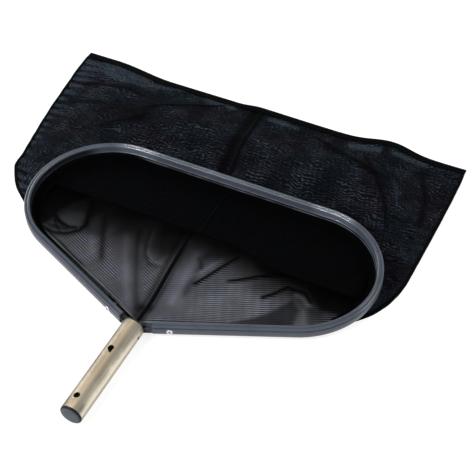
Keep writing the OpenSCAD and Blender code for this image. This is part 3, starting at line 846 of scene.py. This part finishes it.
lower = {"across": 150, "mouthRows": 110, "rearRows": 80, "split": 0.42, "tuck": 3.0, "tuckDrop": 0.45,
         "wave": 0.5, "hemBand": 6.0, "hemOpen": 5.0, "hemEnd": 120.0, "hemFade": 50.0}
# a mark's opening below 1 closes the weave and darkens the mesh and its painted highlights, above 1 opens and
# lightens them; some dark patches are painted shadow
lowerMarks = {
    -1: [
        # folds that run from the slack towards the handle
        fold([(-143, 314), (-125, 278), (-106, 242), (-94, 220)], 4.5, 0.3, 1.6),
        fold([(-152, 300), (-132, 262), (-112, 226)], 6, 1.35, -0.4, rows=0.2),
        area([(-134, 318), (-96, 318), (-70, 262), (-38, 206), (-8, 162), (-12, 150), (-30, 160),
              (-74, 222), (-106, 272)], 10, 0.92, 0.1),
        fold([(-86, 304), (-62, 258), (-34, 208), (-10, 166)], 5.5, 0.36, 1.8, rows=0.2, ends=0.06),
        fold([(-102, 300), (-77, 254), (-49, 206), (-25, 172)], 4.5, 1.45, 0.6, rows=0.2),
        fold([(-74, 290), (-55, 250), (-33, 210), (-16, 182)], 3.2, 1.5, 0.6, rows=0.3),
        fold([(-64, 312), (-56, 282), (-50, 266), (-38, 256), (-18, 258)], 2.2, 1.5, 1.4, rows=0.2, ends=0.1),
        fold([(-70, 310), (-61, 280), (-54, 263), (-40, 250), (-22, 251)], 2.6, 0.55, ends=0.1),
        area([(-58, 322), (-20, 326), (-18, 286), (-34, 268), (-50, 278)], 18, 0.3, 0.4),
        area([(-132, 326), (-84, 326), (-80, 288), (-108, 276)], 24, 0.4),
        # where the side's slack lies double in the corner
        area([(-218, 232), (-203, 244), (-198, 262), (-196, 284), (-186, 306), (-168, 330), (-260, 340),
              (-270, 260)], 10, 0.05),
        area([(-196, 284), (-178, 300), (-160, 292), (-158, 276), (-180, 268)], 14, 1, 0.3),
        area([(-200, 262), (-182, 288), (-168, 296), (-150, 290), (-140, 320), (-200, 320)], 14, 0.45),
        area([(-200, 244), (-188, 246), (-166, 262), (-184, 270), (-200, 268)], 10, 0.5),
        area([(-156, 268), (-140, 262), (-122, 266), (-116, 312), (-160, 312)], 14, 0.45),
        area([(-76, 274), (-50, 270), (-44, 312), (-84, 312)], 14, 0.6),
        fold([(-168, 318), (-158, 296), (-150, 276), (-152, 262), (-166, 250), (-184, 244), (-204, 246)],
              4.4, 0, 2.4, ends=0.02),
        fold([(-200, 276), (-186, 266), (-170, 262), (-156, 266)], 3.6, 0, 1.4, ends=0.05),
        fold([(-200, 256), (-182, 256), (-164, 258)], 1.8, 0.15, 1),
        fold([(-198, 272), (-184, 256), (-172, 250)], 1.8, 0.2, 1),
        fold([(-14, 146), (-9, 160), (-10, 180)], 7, 0.25, ends=0),
        fold([(-10, 170), (-17, 240), (-30, 322)], 4.5, 0.4, 0.8, rows=0.3, ends=0.06),
        fold([(-204, 246), (-164, 234), (-140, 221), (-106, 206)], 2.4, 0.2, ends=0.15),
    ],
    1: [
        area([(-4, 170), (36, 186), (30, 236), (26, 312), (-12, 318)], 12, rows=0.12),
        fold([(27, 240), (38, 264), (48, 287), (60, 312)], 3, 0, 2.4, ends=0.06),
        fold([(20, 250), (33, 280), (46, 306)], 3.6, 1.6, 0.8, rows=0.3),
        fold([(10, 290), (22, 276), (28, 268)], 3, 0.5),
        area([(14, 322), (62, 322), (46, 296), (18, 290)], 18, 0.45),
        fold([(60, 264), (74, 272), (98, 291), (122, 303), (148, 308), (186, 310)], 3.2, 0, 2.2, ends=0.06),
        fold([(58, 256), (76, 264), (100, 283), (124, 295)], 3, 1.3, ends=0.3),
        area([(84, 312), (190, 312), (176, 300), (128, 300), (104, 292), (92, 300)], 14, 0.3),
        fold([(112, 258), (126, 272), (137, 289), (146, 289), (160, 290), (176, 276)], 3.4, 0, 2, ends=0.06),
        # painted shadow: a triangle of closed weave
        area([(100, 204), (131, 240), (152, 274), (166, 262), (172, 226)], 9, 0.3, 0.6),
        area([(46, 196), (98, 208), (124, 236), (128, 264), (84, 262), (44, 226)], 18, 1.3),
        area([(132, 284), (150, 296), (196, 300), (192, 258), (164, 272)], 14, 0.6),
        area([(160, 300), (172, 284), (190, 272), (208, 274), (222, 258), (262, 300), (240, 330),
              (170, 320)], 12, 0.08),
        fold([(146, 284), (162, 282), (178, 270)], 3.2, 3, 1, rows=0.3),
        fold([(168, 268), (178, 250), (184, 238)], 2.4, 1.3),
        area([(172, 272), (216, 270), (216, 236), (188, 232)], 12, 0.62),
        fold([(8, 146), (0, 160), (-2, 186)], 5, 0.3, ends=0),
        fold([(0, 172), (-5, 240), (-14, 306)], 4, 0.4, 0.6, ends=0.06),
        fold([(17, 196), (12, 250), (4, 304)], 6, 1.5, -0.3, ends=0.1),
        fold([(26, 214), (23, 262), (18, 306)], 4.5, 0.6, 1),
    ]}
shadeUnderSlack = {"reach": 62.0, "left": 34.0, "depth": 0.965}
slackFold = {"y": 321.5, "right": 15.5, "from": 35.0, "over": 95.0}


def slackLine(x):
    # where the upper mesh's slack folds, a little further forward on the right
    return slackFold["y"] - slackFold["right"] * soft((x - slackFold["from"]) / slackFold["over"])


def distance(points, others):
    return np.hypot(*np.moveaxis(points - others, -1, 0))


def lowerMouth(u, side, inset):
    middle = sideCross(side * seamEdge(0, side), inset)
    return hoopPoint(middle + (cornerS(bag["lowerSide"]) - middle) * u, inset) * (side, 1)


def makeLower(side):
    name = "lowerMeshRight" if side > 0 else "lowerMeshLeft"
    rows = np.concatenate([np.linspace(0, lower["split"], lower["mouthRows"], endpoint=False),
                           np.linspace(lower["split"], 1, lower["rearRows"])])
    u, t = np.meshgrid(np.linspace(0, 1, lower["across"]), rows)
    inset = bag["hemIn"] - lower["tuck"] * (1 - soft(t / 0.02))
    mouth = lowerMouth(u, side, bag["hemIn"])
    ends = lowerMouth(np.array([0.0, 1.0]), side, bag["hemIn"])
    flat = plan(u, t, side, mouth, ends[0], ends[1])
    grid = np.empty((*u.shape, 3))
    grid[..., :2] = flat + (lowerMouth(u, side, inset) - mouth)
    fall = distance(flat, mouth)
    top = bag["hemZ"] - lower["tuckDrop"]
    grid[..., 2] = top + (bag["lowerZ"] - top) * soft(fall / bag["fall"])
    x, y = flat[..., 0], flat[..., 1]
    layers = {"open": 1 + 0.1 * ripple(x, y, 5, 60), "rows": np.ones_like(x)}
    free = soft(fall / 60) * soft((1 - u) / 0.06) * soft(t / 0.1) * soft((1 - t) / 0.06)
    grid[..., 2] += lower["wave"] * (1 + ripple(x, y, 11, 55)) * free
    applyCreases(grid, layers, lowerMarks[side])
    # painted shade: the weave closes towards the slack's folded edge, which hangs close above the mesh, so the
    # mesh is darker there
    reach = shadeUnderSlack["reach"] + shadeUnderSlack["left"] * soft((45 - x) / 85)
    under = soft((y - slackLine(x) + reach) / reach)
    # near the yoke it lies single inside the hem
    near = 1 - soft((u * cornerS(bag["lowerSide"]) - lower["hemEnd"]) / lower["hemFade"])
    layers["open"] *= 1 + lower["hemOpen"] * (1 - soft(fall / lower["hemBand"])) * near
    opening = layers["open"] * (1 - shadeUnderSlack["depth"] * under ** 0.8)
    grid[..., 2] = np.maximum(grid[..., 2], bag["lowerZ"])
    # the shine, the strength of the painted thread highlights, follows the opening
    piece = sheetFromGrid(name, grid, turned(flat, side * hoop["angle"]),
                          {"opening": opening, "shine": np.minimum(opening, 1.6), "rows": layers["rows"]})
    dress(piece, lowerNet)
    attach(piece, "root")
    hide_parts("lower_mesh_right" if side > 0 else "lower_mesh_left")
    return piece, grid


lowerPieces = {side: makeLower(side) for side in (-1, 1)}
print("lower mesh done")


# upper mesh: its slack folds forward over itself, then it goes back under the bar to the rear seam

upper = {"across": 140, "flapRows": 46, "turnRows": 12, "backRows": 150, "cutWidth": 300, "slackReach": 40,
         "hemOverlap": 3, "flapDrop": 0.5, "flapRise": 1.1, "turnDrop": 0.8, "seamRise": 1.0, "archPeak": 0.45,
         "pitch": 15, "pucker": {-1: 1.0, 1: 0.35}, "puckerHeight": 1.3, "puckerReach": 26, "puckerOpenAndShine": 1.1,
         "sideOpen": {-1: 1.5, 1: 0.2}, "sideReach": 30, "slackOpen": 0.6, "slackShine": 0.12, "paintedShadeUnderBar": 0.9}
# marks with a large opening are pale bands: through the shine they are painted highlights
upperMarks = {
    -1: [
        fold([(-200, 502), (-136, 542), (-75, 577)], 3, 0.35, 2.2),
        fold([(-46, 584), (-40, 520), (-31, 420)], 8, 0.12, -0.4, ends=0.02),
        fold([(-300, 560), (-250, 556), (-190, 566), (-140, 580)], 5, 2.6, 0.8),
        fold([(-318, 520), (-286, 532), (-240, 540), (-200, 530)], 4, 0.3, 0.8),
        fold([(-310, 478), (-280, 490), (-244, 496)], 5, 0.35, 0.8),
        area([(-250, 500), (-190, 520), (-150, 500), (-180, 460), (-240, 460)], 40, 0.5),
        fold([(-241, 442), (-205, 470), (-176, 494)], 6, 0.5, 2),
        fold([(-316, 575), (-270, 574), (-210, 565)], 9, 3.2, 0.5),
        fold([(-132, 566), (-69, 568)], 5, 2.6, 0.3),
        fold([(-300, 330), (-274, 322)], 3, 0.3, 1.4),
    ],
    1: [
        fold([(-36, 584), (-30, 520), (-21, 420)], 5, 0.3, -0.3, ends=0.02),
        fold([(120, 566), (160, 520), (196, 470), (216, 420)], 3, 0.35, 0.9),
        fold([(150, 570), (188, 520), (214, 470)], 3, 1.9, 0.8),
        fold([(210, 560), (238, 510), (250, 450)], 4, 0.45, 0.8),
        fold([(36, 564), (108, 540), (185, 517)], 4, 0.35, 2.4),
        fold([(63, 549), (120, 531), (175, 517)], 4, 0.5, 1.6),
        fold([(170, 540), (200, 515), (224, 489)], 5, 0.6, 1.6),
        fold([(-30, 567), (32, 566)], 5, 2.8, 0.3),
        fold([(95, 564), (130, 570), (153, 576)], 6, 3, 0.4),
        fold([(156, 578), (190, 574), (223, 569)], 6, 3, 0.4),
    ]}


def upperMouth(u, side, inset):
    middle = halfLen - side * seamEdge(0, side)
    return hoopPoint(middle + (cornerS(bag["upperSide"]) - middle) * u, inset) * (side, 1)


def foldPoint(u, side):
    point = upperMouth(u, side, bag["hemIn"] + 4)
    return np.stack([point[..., 0], np.minimum(point[..., 1], slackLine(point[..., 0]))], -1)


def slackRows(us, side):
    # the slack runs forward from the hem to its fold, and turns round under itself
    mouth, edge = upperMouth(us, side, bag["hemIn"]), foldPoint(us, side)
    reach = distance(edge, mouth)
    ahead = (edge - mouth) / reach[:, None]
    full = soft(reach / upper["slackReach"])
    radius = bag["foldRadius"] * full + 0.5
    overlap = ahead * upper["hemOverlap"]
    k = np.linspace(0, 1, upper["flapRows"], endpoint=False)[:, None]
    flap = np.empty((upper["flapRows"], upper["across"], 3))
    flap[..., :2] = (mouth - overlap)[None] + (edge - mouth + overlap)[None] * k[..., None]
    flap[..., 2] = (bag["hemZ"] - upper["flapDrop"] + (radius - 0.3) * soft(k * 1.3)
                    + upper["flapRise"] * np.sin(np.pi * k) * full)
    angles = np.linspace(0, np.pi, upper["turnRows"], endpoint=False)[:, None]
    turn = np.empty((upper["turnRows"], upper["across"], 3))
    turn[..., :2] = edge[None] + ahead[None] * (radius * np.sin(angles))[..., None]
    turn[..., 2] = bag["hemZ"] - upper["turnDrop"] + radius * np.cos(angles)
    return np.concatenate([flap, turn]), edge, bag["hemZ"] - upper["turnDrop"] - radius


def makeUpper(side):
    name = "upperMeshRight" if side > 0 else "upperMeshLeft"
    us = np.linspace(0, 1, upper["across"])
    slack, edge, low = slackRows(us, side)
    u, t = np.meshgrid(us, np.linspace(0, 1, upper["backRows"]))
    ends = foldPoint(np.array([0.0, 1.0]), side)
    back = np.empty((*u.shape, 3))
    back[..., :2] = plan(u, t, side, edge[None] + 0 * u[..., None], ends[0], ends[1])
    x, y = back[..., 0], back[..., 1]
    # the middle arches up behind the bar, the side falls straight to the side seam
    arch = (y - barY) / (bag["reach"] - barY)
    seamZ, peak = bag["lowerZ"] + upper["seamRise"], upper["archPeak"]
    rise = (bag["loft"] - 0.35 + floorZ / mm - low) * soft(arch / peak)
    middle = low + rise + (seamZ - low - rise) * soft((arch - peak) / (1 - peak))
    atSide = low + (seamZ - low) * soft(distance(back[..., :2], edge[None]) / bag["fall"])
    back[..., 2] = middle + (atSide - middle) * soft((u - 0.3) / 0.7)
    free = soft((1 - u) / 0.05) * soft((1 - t) / 0.05) * soft(arch * 3)
    back[..., 2] += (0.9 * ripple(x, y, 23, 75) + 0.45 * ripple(x, y, 29, 30)) * free
    # tone opens the weave and also sets the shine, the strength of the painted thread highlights
    tone = 1 + 0.12 * ripple(x, y, 31, 45)
    # the side seam gathers the cloth in short puckers
    fromSide = (1 - u) * upper["cutWidth"]
    pucker = (np.sin(y * 2 * np.pi / upper["pitch"] + 1.3 * ripple(x, y, 37, 90))
              * np.exp(-fromSide / upper["puckerReach"]) * soft((1 - u) / 0.01))
    back[..., 2] += upper["puckerHeight"] * upper["pucker"][side] * pucker * soft(arch * 3 + 0.6)
    # painted light: the pucker crests are painted lighter and the troughs darker
    tone *= 1 + upper["puckerOpenAndShine"] * upper["pucker"][side] * np.clip(pucker, -0.6, 1)
    tone *= 1 + upper["sideOpen"][side] * np.exp(-fromSide / upper["sideReach"])
    applyCreases(back, {"open": tone}, upperMarks[side])
    clearOfLower = seamZ + 0.9 * soft((1 - u) / 0.08) * soft((1 - t) / 0.08)
    back[..., 2] = np.where(y > barY - 60, np.maximum(back[..., 2], clearOfLower), back[..., 2])
    # painted shade: under the bar its shine is cut, so it is painted dark
    lit = 1 - upper["paintedShadeUnderBar"] * soft((barY - 20 - y) / 30) * soft((236 - np.abs(x)) / 14)
    grid = np.concatenate([slack, back])
    # painted shade: the slack's low shine paints it near black
    opening = np.concatenate([np.full(slack.shape[:2], upper["slackOpen"]), tone])
    shine = np.concatenate([np.full(slack.shape[:2], upper["slackShine"]), tone * lit])
    steps = np.hypot.reduce(np.diff(grid, axis=0), axis=-1)
    run = np.concatenate([np.zeros((1, grid.shape[1])), np.cumsum(steps, 0)])
    cut = np.stack(np.broadcast_arrays(us * upper["cutWidth"], run.mean(1, keepdims=True)), -1)
    piece = sheetFromGrid(name, grid, cut, {
        "opening": np.clip(opening, 0, 6), "shine": np.clip(shine, 0, 3), "rows": np.ones_like(shine)})
    dress(piece, upperNet)
    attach(piece, "root")
    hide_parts("upper_mesh_right" if side > 0 else "upper_mesh_left")
    return piece, grid


upperPieces = {side: makeUpper(side) for side in (-1, 1)}
print("upper mesh done")


# tapes: a section carried along a line of points

def carry(name, line, section, stitchAt=(), close=True):
    # section is offsets to the right of the line and above it, in millimetres
    line = np.asarray(line, float)
    steps = np.gradient(line, axis=0)
    right = np.stack([steps[:, 1], -steps[:, 0], 0 * steps[:, 0]], -1)
    right /= np.hypot(right[:, 0], right[:, 1])[:, None]
    offsets = np.array(section, float)
    ring = line[:, None] + right[:, None] * offsets[None, :, :1]
    ring[..., 2] += offsets[None, :, 1]
    lengths = np.concatenate([[0], np.cumsum(np.hypot.reduce(np.diff(line, axis=0), axis=-1))])
    around = np.concatenate([[0], np.cumsum(np.hypot(*np.diff(offsets, axis=0).T))])
    cut = np.stack(np.broadcast_arrays(around, lengths[:, None]), -1)
    stitch = np.zeros(ring.shape[:2])
    for k in stitchAt:
        stitch[:, k] = 1
    piece = sheetFromGrid(name, ring, cut, {"stitch": stitch})
    if close:
        tidyShell(piece)
        editMode(piece)
        bpy.ops.mesh.select_all(action="DESELECT")
        bpy.ops.mesh.select_non_manifold()
        bpy.ops.mesh.fill()
        tidyShell(piece)
        smoothByAngle(piece, 60)
    dress(piece, blackTape)
    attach(piece, "root")
    return piece


def roundedBar(low, high, bottom, top, radius):
    left, right, down, up = low + radius, high - radius, bottom + radius, top - radius
    middles = ((right, up), (left, up), (left, down), (right, down))
    arcs = [arc(middle, radius, 90 * k, 90 * (k + 1), 4) for k, middle in enumerate(middles)]
    return sum(arcs, [])


tape = {"crown": [(-2.7, -0.1), (-2.2, 0.45), (-1.1, 0.8), (0, 0.95), (1.1, 0.8), (2.2, 0.45), (2.7, -0.1)],
        "sideBars": {1: (-0.8, 3.2), -1: (-3.2, 0.8)}, "sideWave": 0.3, "bindingSteps": 160, "bindingEnd": 3.0,
        "bindingZ": -14.3}


def makeSeams():
    for name, pieces, node in (("lowerCentreSeam", lowerPieces, "lower_centre_seam"),
                               ("upperCentreSeam", upperPieces, "upper_centre_seam")):
        line = (pieces[-1][1][:, 0] + pieces[1][1][:, 0]) / 2
        piece = carry(name, line, tape["crown"], close=False)
        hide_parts(node)
    for side in (-1, 1):
        edge = lowerPieces[side][1][6:, -1].copy()
        edge[:, 2] = bag["lowerZ"] + tape["sideWave"] * np.sin(np.arange(len(edge)) * 0.35)
        bar = roundedBar(*tape["sideBars"][side], -0.3, 2.1, 0.7)
        piece = carry("sideSeamRight" if side > 0 else "sideSeamLeft", edge, bar, stitchAt=(3, 8))
        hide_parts("side_seam_right" if side > 0 else "side_seam_left")
    k = np.linspace(0, 1, tape["bindingSteps"])
    right, left = rearPoint(k[::-1], 1), rearPoint(k, -1)
    past = (tape["bindingEnd"], 0)
    line = np.concatenate([[right[0] + past], right, left, [left[-1] - past]])
    line = np.column_stack([line, np.full(len(line), tape["bindingZ"])])
    piece = carry("rearBinding", line, roundedBar(-0.8, 9.4, 0.05, 2.9, 1.1))
    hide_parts("rear_binding")


makeSeams()
print("seams done")


# hem round the mouth and the patch under the yoke

hem = {"start": 66.0, "steps": 420, "openTo": 150, "openFade": 60, "closed": 0.85, "paintedLeftShade": 0.85,
       "paintedLeftShadeFade": 40}
# inset, height, opening and shine of each row across the hem; the shine paints a highlight where the hem wraps
# the lower lip
hemRows = [(6.9, -2.2, 0.1, 0), (8.6, -2.1, 0.1, 0.1), (9.1, -2.6, 0.1, 1), (9.25, -3.5, 0.1, 1),
           (9.6, -4.2, 0.35, 0.2), (11.0, -4.8, 0.45, 0.05), (13.5, -5.4, 0.45, 0.05), (15.6, -5.9, 0.5, 0.05),
           (16.8, -6.2, 0.8, 0.05), (17.4, -6.35, 0.8, 0), (18.2, -6.55, 0.8, 0)]


def makeHem():
    s = np.linspace(hem["start"], 2 * halfLen - hem["start"], hem["steps"])
    insets, heights, openings, shines = np.array(hemRows).T
    grid = np.empty((len(s), len(hemRows), 3))
    for k, (inset, z) in enumerate(zip(insets, heights)):
        grid[:, k, :2] = wholePoint(s, inset)
        grid[:, k, 2] = z + 0.18 * np.sin(s / 9.0 + k * 0.4) * (k > 4)
    cut = np.stack(np.broadcast_arrays(insets, s[:, None]), -1)
    # its weave is open by the yoke only, and its painted highlight is cut past the left bend
    fromYoke = np.minimum(s, 2 * halfLen - s)[:, None]
    opening = openings * (1 - hem["closed"] * soft((fromYoke - hem["openTo"]) / hem["openFade"]))
    leftBend = soft((s - halfLen - halfBar + hem["paintedLeftShadeFade"] / 2) / hem["paintedLeftShadeFade"])[:, None]
    shine = shines * (1 - hem["paintedLeftShade"] * leftBend)
    piece = sheetFromGrid("mouthHem", grid, cut,
                          {"opening": opening, "shine": shine, "rows": np.ones_like(shine)})
    modify(piece, "SOLIDIFY", thickness=0.0004, offset=-1)
    dress(piece, hemNet)
    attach(piece, "root")
    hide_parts("mouth_hem")


patch = {"insets": (8.1, 9.0, 11.1, 13.2, 15.3, 17.4), "overlap": 1.5, "z": -6.0, "edgeZ": -4.9,
         "stitchRow": 4}


def makePatch():
    s = np.linspace(0, 1, 24)
    rows = []
    for inset in patch["insets"]:
        tip, end = sideCross(0, inset), hem["start"] + patch["overlap"]
        right = hoopPoint(end + (tip - end) * s, inset)
        rows.append(np.concatenate([right, right[::-1][1:] * (-1, 1)]))
    rows = np.array(rows)
    grid = np.dstack([rows, np.full(rows.shape[:2], patch["z"])])
    grid[0, :, 2] = patch["edgeZ"]                        # its outer edge turns up to the strip
    grid[..., 2] += 0.15 * np.sin(grid[..., 0] / 5)
    stitch = np.zeros(grid.shape[:2])
    stitch[patch["stitchRow"]] = 1
    piece = sheetFromGrid("apexPatch", grid, rows, {"stitch": stitch})
    modify(piece, "SOLIDIFY", thickness=0.0006, offset=-1)
    dress(piece, blackTape)
    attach(piece, "root")
    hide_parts("apex_patch")


makeHem()
makePatch()
print("hem done")


# floor, lights and camera

floorLook = {"grey": (0.36, 0.36, 0.36, 1), "glow": 0.8}


def makeStage():
    deselectAll()
    bpy.ops.mesh.primitive_plane_add(size=14, location=(0, 0, floorZ - 0.0002))
    floor = named("studioFloor")
    finish = Finish("paleFloor", Base_Color=floorLook["grey"], Roughness=0.9, Specular_IOR_Level=0.0,
                    Emission_Color=(1, 1, 1, 1))
    rays = finish.node("ShaderNodeLightPath").socket.node.outputs
    kinds = ("Is Camera Ray", "Is Glossy Ray", "Is Transmission Ray")
    camera, glossy, through = (Wire(finish, rays[kind]) for kind in kinds)
    seen = camera.maths("MAXIMUM", camera, glossy.maths("MAXIMUM", glossy, through))
    finish.connect(Emission_Strength=seen * floorLook["glow"])
    dress(floor, finish)


def makeAir():
    # the studio's air is brighter round the horizon than overhead
    air = Air("studioAir", Color=(1, 1, 1, 1))
    bpy.context.scene.world = air.world
    _, _, height = air.split(air.node("ShaderNodeTexCoord"))
    air.connect(Strength=air.node("ShaderNodeMapRange", {}, {
        "Value": height, "From Min": 0.0, "From Max": 0.75, "To Min": 0.85, "To Max": 0.4}))


netMiddle = (0, 0.33, 0)
lamps = {
    "frontLamp": {"place": (-0.43, -0.74, 1.10), "size": (0.50, 0.07), "watts": 8},
    "leftLamp": {"place": (-0.69, -0.56, 0.95), "size": (0.50, 0.07), "watts": 9},
    "sideLamp": {"place": (1.15, 0.75, 0.35), "size": (0.60, 0.60), "watts": 6},
    "backLamp": {"place": (-1.30, 0.85, 0.25), "size": (0.80, 0.80), "watts": 7},
}


def makeLamps():
    for name, lamp in lamps.items():
        deselectAll()
        bpy.ops.object.light_add(type="AREA", location=lamp["place"])
        light = named(name)
        light.data.shape = "ELLIPSE"
        light.data.size, light.data.size_y = lamp["size"]
        light.data.energy = lamp["watts"]
        x, y, z = np.subtract(netMiddle, lamp["place"])
        light.rotation_euler = (math.acos(-z / math.hypot(x, y, z)), 0, math.atan2(y, x) - math.pi / 2)


def makeCamera():
    view = {"place": (0.5668, -0.6447, 1.1600), "turn": (43.565, 1.424, 26.576), "lens": 94.13}
    deselectAll()
    bpy.ops.object.camera_add(location=view["place"], rotation=[math.radians(a) for a in view["turn"]])
    camera = named("viewCamera")
    camera.data.sensor_width = 36
    camera.data.lens = view["lens"]
    bpy.context.scene.camera = camera


makeStage()
makeAir()
makeLamps()
makeCamera()
bpy.context.scene.view_settings.view_transform = "Standard"
print("stage done")
